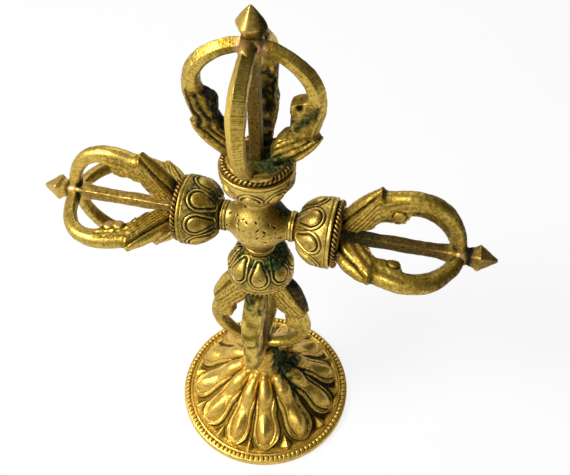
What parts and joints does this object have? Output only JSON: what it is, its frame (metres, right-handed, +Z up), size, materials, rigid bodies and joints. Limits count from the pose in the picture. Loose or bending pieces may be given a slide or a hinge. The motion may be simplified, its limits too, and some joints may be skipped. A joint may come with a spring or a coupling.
{
  "type": "crossed double vajra on a lotus base",
  "caption": "Upright crossed double vajra in old brass: pronged cages on lotus bulbs round a ball hub, standing on a hollow petalled lotus base.",
  "frame": {"origin": "middle of the base's underside, on the table", "axes": "+Z up along the upright vajra, +X along the level vajra, front towards -Y"},
  "size_m": [0.1, 0.048, 0.1204],
  "materials": {
    "cast_brass": "old cast brass, dark in the carving",
    "rope_brass": "old brass, dark in the lay of the rope",
    "prong_brass": "old brass, worn bright on the ridges",
    "spindle_brass": "filed old brass",
    "base_brass": "warm polished brass, dark in the grooves"
  },
  "bodies": {
    "root": {"hub": "cast_brass", "lotus_bulb_top": "cast_brass", "lotus_bulb_left": "cast_brass", "lotus_bulb_right": "cast_brass", "lotus_bulb_low": "cast_brass", "rope_ring_top": "rope_brass", "rope_ring_left": "rope_brass", "rope_ring_right": "rope_brass", "rope_ring_low": "rope_brass", "prong_top_right": "prong_brass", "prong_top_back": "prong_brass", "prong_top_left": "prong_brass", "prong_top_front": "prong_brass", "prong_left_up": "prong_brass", "prong_left_back": "prong_brass", "prong_left_down": "prong_brass", "prong_left_front": "prong_brass", "prong_right_down": "prong_brass", "prong_right_back": "prong_brass", "prong_right_up": "prong_brass", "prong_right_front": "prong_brass", "prong_low_right": "prong_brass", "prong_low_back": "prong_brass", "prong_low_left": "prong_brass", "prong_low_front": "prong_brass", "spindle_top": "spindle_brass", "spindle_left": "spindle_brass", "spindle_right": "spindle_brass", "spindle_low": "spindle_brass", "lotus_base": "base_brass"}
  },
  "joints": []
}
